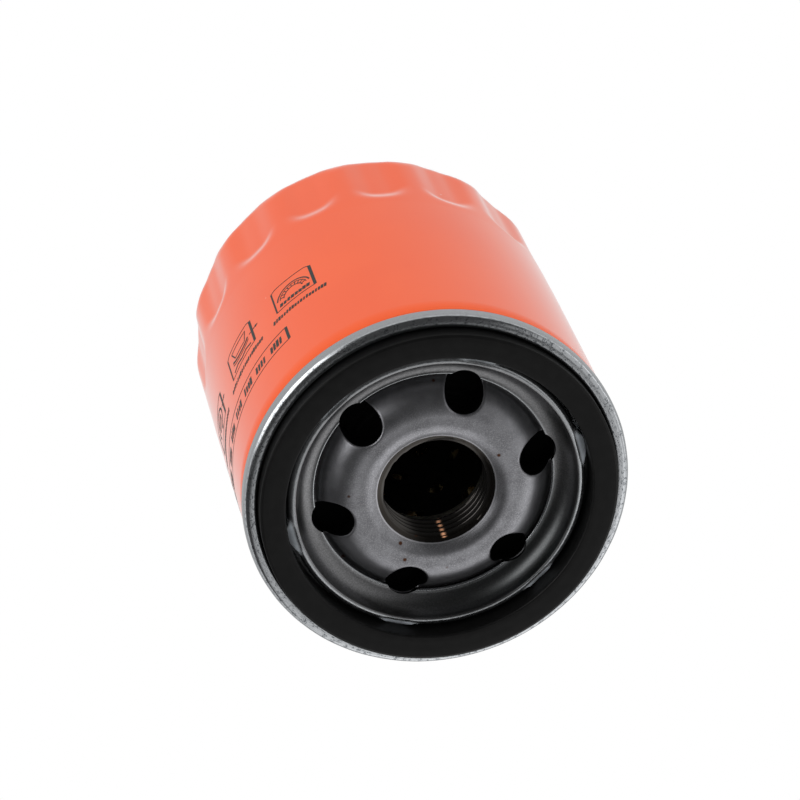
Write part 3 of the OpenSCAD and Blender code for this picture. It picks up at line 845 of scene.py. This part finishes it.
def base_plate():
    """Thick stamped plate: domed hub, punched inlets and a drawn collar with a cut thread."""
    points, faces, top_rings, top_rim = perforated(HUB_TOP, 0.4)
    shift = len(points)
    low_points, low_faces, low_rings, low_rim = perforated(HUB_UNDER, -0.15)
    points += low_points
    faces += [tuple(i + shift for i in f) for f in low_faces]
    for upper, lower in zip([*top_rings, top_rim], [*low_rings, low_rim]):
        for i in range(len(upper)):
            j = (i + 1) % len(upper)
            faces.append((upper[i], upper[j], lower[j] + shift, lower[i] + shift))
    thread_points, thread_faces = threaded_wall(len(points))
    points += thread_points
    faces += thread_faces
    collar = [(COLLAR_RADIUS - 0.4, COLLAR_BOTTOM), (COLLAR_RADIUS - 0.1, COLLAR_BOTTOM + 0.1),
              (COLLAR_RADIUS, COLLAR_BOTTOM + 0.4), HUB_UNDER[0]]
    first = len(points)
    wall = len(thread_points) // (PLATE_COLUMNS + 1)
    for column in range(PLATE_COLUMNS):
        angle = 2 * math.pi * column / PLATE_COLUMNS
        points.append(thread_points[column * wall])
        points += [around(r, angle, z) for r, z in collar]
    faces += turned_faces(first, PLATE_COLUMNS, len(collar) + 1, False)
    return mesh_piece("base_plate_threaded", points, faces, sharp=42)


def square_gasket():
    """Square section gasket with soft bevels."""
    top = [(GASKET_OUTER, GROOVE_FLOOR), (GASKET_OUTER, GASKET_TOP - 1.2)]
    top += arc(GASKET_OUTER - 0.32, GASKET_TOP - 0.36, 0.32, 0, 45, 3)
    top += arc(GASKET_OUTER - 0.52, GASKET_TOP - 0.22, 0.22, 45, 90, 3)
    top += [(GASKET_OUTER - 2.0, GASKET_TOP - 0.01), (GASKET_INNER + 1.4, GASKET_TOP - 0.01)]
    top += arc(GASKET_INNER + 0.3, GASKET_TOP - 0.3, 0.3, 90, 180, 5)
    top += [(GASKET_INNER, GASKET_TOP - 1.2), (GASKET_INNER, GROOVE_FLOOR)]
    return revolve("gasket_ring", top)


# -------- inside the filter
def wash(seed, scale, amount):
    """Slow random height change round the axis, for cured or moulded surfaces."""
    def shape(angle, radius, height):
        spot = Vector((math.cos(angle) * scale, math.sin(angle) * scale, radius * 0.3 + seed))
        return radius, height + amount * noise.noise(spot)
    return shape


def drainback_valve():
    """Rubber check valve: disc clamped under the collar, flexible skirt and a thin lip on the plate."""
    hole = THREAD_MINOR + 1.41
    under = flow([(hole + 0.2, CLAMP_BOTTOM), (13.0, CLAMP_BOTTOM), (15.0, CLAMP_BOTTOM),
                  (16.0, CLAMP_BOTTOM - 0.25), (17.2, CLAMP_BOTTOM - 0.45),
                  (LIP_RADIUS - 6.4, CLAMP_BOTTOM - 0.3), (LIP_RADIUS - 3.4, CLAMP_BOTTOM + 0.7),
                  (LIP_RADIUS - 1.0, PLATE_BOTTOM - 1.35), (LIP_RADIUS - 0.35, PLATE_BOTTOM - 0.7)])
    lip = [(LIP_RADIUS, PLATE_BOTTOM - 0.1), (LIP_RADIUS - 0.12, PLATE_BOTTOM),
           (LIP_RADIUS - 1.2, PLATE_BOTTOM)]
    over = flow([(LIP_RADIUS - 2.2, PLATE_BOTTOM - 0.45), (LIP_RADIUS - 4.6, CLAMP_BOTTOM + 1.35),
                 (LIP_RADIUS - 6.8, CLAMP_BOTTOM + 0.75), (17.4, CLAMP_BOTTOM + 0.6),
                 (16.4, CLAMP_BOTTOM + 0.75), (15.6, COLLAR_BOTTOM - 0.1), (14.8, COLLAR_BOTTOM)])
    inner = [(hole + 0.2, COLLAR_BOTTOM), (hole, COLLAR_BOTTOM - 0.2), (hole, CLAMP_BOTTOM + 0.2)]
    return revolve("drainback_valve", under + lip + over + inner, 144)


def coil_spring():
    """Bypass spring with closed end coils."""
    wire = 0.5 * SPRING_WIRE
    turns = SPRING_TURNS
    free = SPRING_TOP - SPRING_BOTTOM - 3 * SPRING_WIRE
    sides, steps = 12, int(turns * 48)
    points, faces = [], []
    for i in range(steps + 1):
        turn = i / 48
        height = SPRING_BOTTOM + wire + SPRING_WIRE * (min(turn, 1) + max(turn - turns + 1, 0))
        height += free * min(max((turn - 1) / (turns - 2), 0), 1)
        for j in range(sides):
            b = 2 * math.pi * j / sides
            reach = SPRING_REACH - wire + wire * math.cos(b)
            points.append(around(reach, 2 * math.pi * turn, height + wire * math.sin(b)))
    for i in range(steps):
        for j in range(sides):
            k = (j + 1) % sides
            faces.append((i * sides + j, i * sides + k, (i + 1) * sides + k, (i + 1) * sides + j))
    faces += [tuple(range(sides)), tuple(reversed(range(steps * sides, steps * sides + sides)))]
    return mesh_piece("coil_spring", points, faces, 60)


def pleats():
    """One closed band of paper with rounded folds, rippled flanks and slightly uneven pleats."""
    inner, outer = PLEAT_INNER, MEDIA_RADIUS
    chance = random.Random(7)
    levels = 25
    # share of the pleat's depth and of its half width, up one flank
    flank = [(0.03, 0.86), (0.3, 0.66), (0.7, 0.40), (0.95, 0.22)]
    profile = [(0.0, -1.0), *((share, -swing) for share, swing in flank), (1.0, 0.0), *reversed(flank)]
    centre_line = []
    half = math.pi / PLEAT_COUNT
    for pleat in range(PLEAT_COUNT):
        middle = 2 * half * pleat
        lean = chance.uniform(-0.12, 0.12) * half if pleat else 0.0
        reach = outer - (chance.uniform(0.0, 0.25) if pleat else 0.0)
        for share, swing in profile:
            radius = inner + (reach - inner - PAPER) * share + PAPER / 2
            centre_line.append((radius, middle + swing * half + lean * share))
    count = len(centre_line)
    flat = [Vector((r * math.cos(a), r * math.sin(a))) for r, a in centre_line]
    points, faces = [], []
    for level in range(levels):
        height = MEDIA_BOTTOM + (MEDIA_TOP - MEDIA_BOTTOM) * level / (levels - 1)
        for side in (-1, 1):
            for i in range(count):
                along = (flat[(i + 1) % count] - flat[i - 1]).normalized()
                off = Vector((along.y, -along.x)) * side * PAPER / 2
                spot = flat[i] + off
                if i % 10 in (2, 3, 7, 8):
                    spot += Vector((along.y, -along.x)) * 0.07 * math.sin(height * 1.9)
                points.append((spot.x, spot.y, height))
    for level in range(levels - 1):
        for side in (0, 1):
            base = (2 * level + side) * count
            for i in range(count):
                j = (i + 1) % count
                faces.append((base + i, base + j, base + j + 2 * count, base + i + 2 * count))
    for base in (0, 2 * count * (levels - 1)):
        for i in range(count):
            j = (i + 1) % count
            faces.append((base + i, base + j, base + j + count, base + i + count))
    return mesh_piece("paper_pleats", points, faces, 50)


def potting_ring(name, node, seed, meniscus):
    """Cured compound in an end cap; the side towards the paper is wavy and climbs at the walls."""
    low, high = extent(node)[1:]
    free, cap = (high, low) if meniscus > 0 else (low, high)
    inner, outer = TUBE_RADIUS + 0.1, CAP_RADIUS - 0.35
    surface = [(inner + (outer - inner) * i / 12, free - meniscus * 0.35 * math.sin(math.pi * i / 12))
               for i in range(13)]
    outline = surface + [(outer, cap), (inner, cap)]
    ripple = wash(seed, 6.0, 0.12)

    def shape(angle, radius, height):
        if abs(height - cap) < 0.01 or radius > outer - 0.05 or radius < inner + 0.05:
            return radius, height
        moved = ripple(angle, radius, height)[1]
        return radius, min(moved, high) if meniscus > 0 else max(moved, low)

    return revolve(name, outline, 180, shape)


def seal_washer():
    """Rubber washer of the bypass disc, edges rounded."""
    reach, low, high = extent("bypass_seal")
    hole = STEM_RADIUS + 0.02
    outline = [(hole, low), *arc(reach - 0.25, low + 0.25, 0.25, -90, 0, 4),
               *arc(reach - 0.25, high - 0.25, 0.25, 0, 90, 4), (hole, high)]
    return revolve("seal_washer", outline, 96)


# -------- camera, floor and light
CAMERA_ELEVATION = 61.61
CAMERA_ROLL = 157.86
CAMERA_PLACE = Vector((0.0, 0.3252, 0.6400))
CAMERA_FIELD = 12.12
LIGHT_TARGET = Vector((0, 0, 0.045))
# strength seen by the camera, by glossy rays and by all others
FLOOR_GLOW = (1.0, 0.5, 1.0)
SKY_MATTE = 0.9
# soft bright areas of the sky: direction, cosine at the edge and at the core, strength
SKY_AREAS = [((0, 0, -1), -0.30, -0.02, 0.85), ((0, -0.9, 0.43), 0.70, 0.93, 0.85),
             ((0.8, -0.35, 0.5), 0.72, 0.93, 0.52), ((-0.68, 0.66, 0.33), 0.86, 0.95, 1.5),
             ((0, 0, 1), -2.0, -1.5, 0.045)]


def view_axes():
    """Right, up and backward axes of the camera."""
    slope = math.radians(CAMERA_ELEVATION)
    roll = math.radians(CAMERA_ROLL)
    back = Vector((0, math.cos(slope), math.sin(slope)))
    level = Vector((-1, 0, 0))
    upright = back.cross(level)
    right = level * math.cos(roll) + upright * math.sin(roll)
    return right, back.cross(right), back


def make_camera():
    """Camera in front of the open end, rolled so that the can hangs to one side."""
    right, up, back = view_axes()
    data = bpy.data.cameras.new("camera")
    data.angle = math.radians(CAMERA_FIELD)
    data.clip_start = 0.01
    data.clip_end = 10.0
    camera = put("camera", data)
    turn = Matrix((right, up, back)).transposed()
    camera.matrix_world = Matrix.Translation(CAMERA_PLACE) @ turn.to_4x4()
    bpy.context.scene.camera = camera


def soft_light(name, place, size, watts):
    """Area light at a place given along the camera's right, up and backward axes, aimed at the filter."""
    axes = view_axes()
    data = bpy.data.lights.new(name, "AREA")
    data.shape = "RECTANGLE"
    data.size, data.size_y = size
    data.energy = watts
    light = put(name, data)
    light.location = LIGHT_TARGET + sum((axis * amount for axis, amount in zip(axes, place)), Vector())
    light.rotation_euler = (light.location - LIGHT_TARGET).to_track_quat("Z", "Y").to_euler()


def glow_of(tree, kind, strengths):
    """Emission or background that is plain white to the camera and has its own strengths for other rays."""
    made = tree.nodes.new(kind)
    path = tree.nodes.new("ShaderNodeLightPath")
    seen, glossy, diffuse = strengths
    first = tree.nodes.new("ShaderNodeMix")
    second = tree.nodes.new("ShaderNodeMix")
    for node, share, rest, chosen in ((first, "Is Glossy Ray", diffuse, glossy),
                                      (second, "Is Camera Ray", first.outputs[0], seen)):
        tree.links.new(path.outputs[share], node.inputs[0])
        for socket, value in ((node.inputs[2], rest), (node.inputs[3], chosen)):
            if isinstance(value, bpy.types.NodeSocket):
                tree.links.new(value, socket)
            else:
                socket.default_value = value
    tree.links.new(second.outputs[0], made.inputs["Strength"])
    made.inputs["Color"].default_value = (1, 1, 1, 1)
    return made.outputs[0]


def make_floor():
    """Wide white floor."""
    side = 6.0
    corners = [(-side, -side, 0), (side, -side, 0), (side, side, 0), (-side, side, 0)]
    mesh = bpy.data.meshes.new("floor")
    mesh.from_pydata(corners, [], [(0, 1, 2, 3)])
    floor = put("floor", mesh)
    floor.location.z = -0.0005
    white = bpy.data.materials.new("floor_white")
    white.use_nodes = True
    tree = white.node_tree
    tree.nodes.clear()
    out = tree.nodes.new("ShaderNodeOutputMaterial")
    tree.links.new(glow_of(tree, "ShaderNodeEmission", FLOOR_GLOW), out.inputs["Surface"])
    mesh.materials.append(white)


def make_sky():
    """Studio sky: even for matte surfaces; for glossy ones dark with a few soft bright areas."""
    world = bpy.data.worlds.new("studio")
    bpy.context.scene.world = world
    world.use_nodes = True
    tree = world.node_tree
    tree.nodes.clear()
    direction = tree.nodes.new("ShaderNodeTexCoord").outputs["Generated"]
    total = None
    for towards, edge, core, strength in SKY_AREAS:
        dot = tree.nodes.new("ShaderNodeVectorMath")
        dot.operation = "DOT_PRODUCT"
        tree.links.new(direction, dot.inputs[0])
        dot.inputs[1].default_value = Vector(towards).normalized()
        area = tree.nodes.new("ShaderNodeMapRange")
        area.interpolation_type = "SMOOTHSTEP"
        tree.links.new(dot.outputs["Value"], area.inputs["Value"])
        area.inputs["From Min"].default_value = edge
        area.inputs["From Max"].default_value = core
        area.inputs["To Max"].default_value = strength
        if total is None:
            total = area.outputs["Result"]
            continue
        added = tree.nodes.new("ShaderNodeMath")
        tree.links.new(total, added.inputs[0])
        tree.links.new(area.outputs["Result"], added.inputs[1])
        total = added.outputs[0]
    out = tree.nodes.new("ShaderNodeOutputWorld")
    tree.links.new(glow_of(tree, "ShaderNodeBackground", (1.0, total, SKY_MATTE)), out.inputs["Surface"])


make_camera()
make_floor()
make_sky()
soft_light("side_strip", (-0.569, 0.098, 0.431), (0.56, 0.56), 0.8)
bpy.context.scene.view_settings.view_transform = "Standard"

# -------- assembly
PAINT = orange_paint()
INK = print_ink()
SHEET = bright_sheet()
PLATE = phosphated_plate()
BLACK_RUBBER = rubber("black_rubber", 0.0028, 0.44)
VALVE_RUBBER = rubber("valve_rubber", 0.0022, 0.6)
TINNED = steel("tinned_sheet", (0.50, 0.48, 0.42), 0.38)
# painted shade: the centre tube's steel is near black, so that the bore looks dark
SHADED_TUBE_STEEL = steel("tube_steel_painted_shade", (0.07, 0.07, 0.065), 0.45)
SPRING_STEEL = steel("spring_steel", (0.36, 0.36, 0.37), 0.34, drawn=False)
VALVE_STEEL = steel("valve_steel", (0.56, 0.56, 0.58), 0.3)
PAPER_FIBRE = filter_paper()
POTTING = resin("potting", (0.50, 0.12, 0.05), (0.36, 0.07, 0.03))
COMPOUND = resin("seam_compound", (0.06, 0.14, 0.24), (0.04, 0.10, 0.18))

dress(can_shell(), PAINT, "orange_paint", "can")
dress(print_marks(), INK, None)
dress(lid_sheet(), SHEET, "bright_sheet", "seaming_lid")
dress(base_plate(), PLATE, "phosphated_plate", "base_plate")
dress(square_gasket(), BLACK_RUBBER, "black_rubber", "gasket")

dress(pleats(), PAPER_FIBRE, "filter_paper", "pleated_media")
dress(potting_ring("upper_compound", "upper_potting", 1.0, -1), POTTING, "potting", "upper_potting")
dress(potting_ring("lower_compound", "lower_potting", 5.0, 1), POTTING, "potting", "lower_potting")
dress(seal_washer(), VALVE_RUBBER, "valve_rubber", "bypass_seal", body="bypass_valve")
valve = dress(drainback_valve(), VALVE_RUBBER, "valve_rubber", "anti_drainback_valve", body=None)
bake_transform(valve)
spring = dress(coil_spring(), SPRING_STEEL, "spring_steel", "bypass_spring")
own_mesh(spring)

NODE_MATERIALS = {
    "seam_compound": COMPOUND, "upper_end_cap": TINNED, "lower_end_cap": TINNED,
    "centre_tube": SHADED_TUBE_STEEL, "media_clip": TINNED, "support_spring": SPRING_STEEL,
    "bypass_seat": VALVE_STEEL, "bypass_cage": VALVE_STEEL, "bypass_disc": VALVE_STEEL,
    "bypass_stem": VALVE_STEEL,
}
for node, finish in NODE_MATERIALS.items():
    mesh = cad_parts[node].data
    mesh.materials.clear()
    mesh.materials.append(finish)
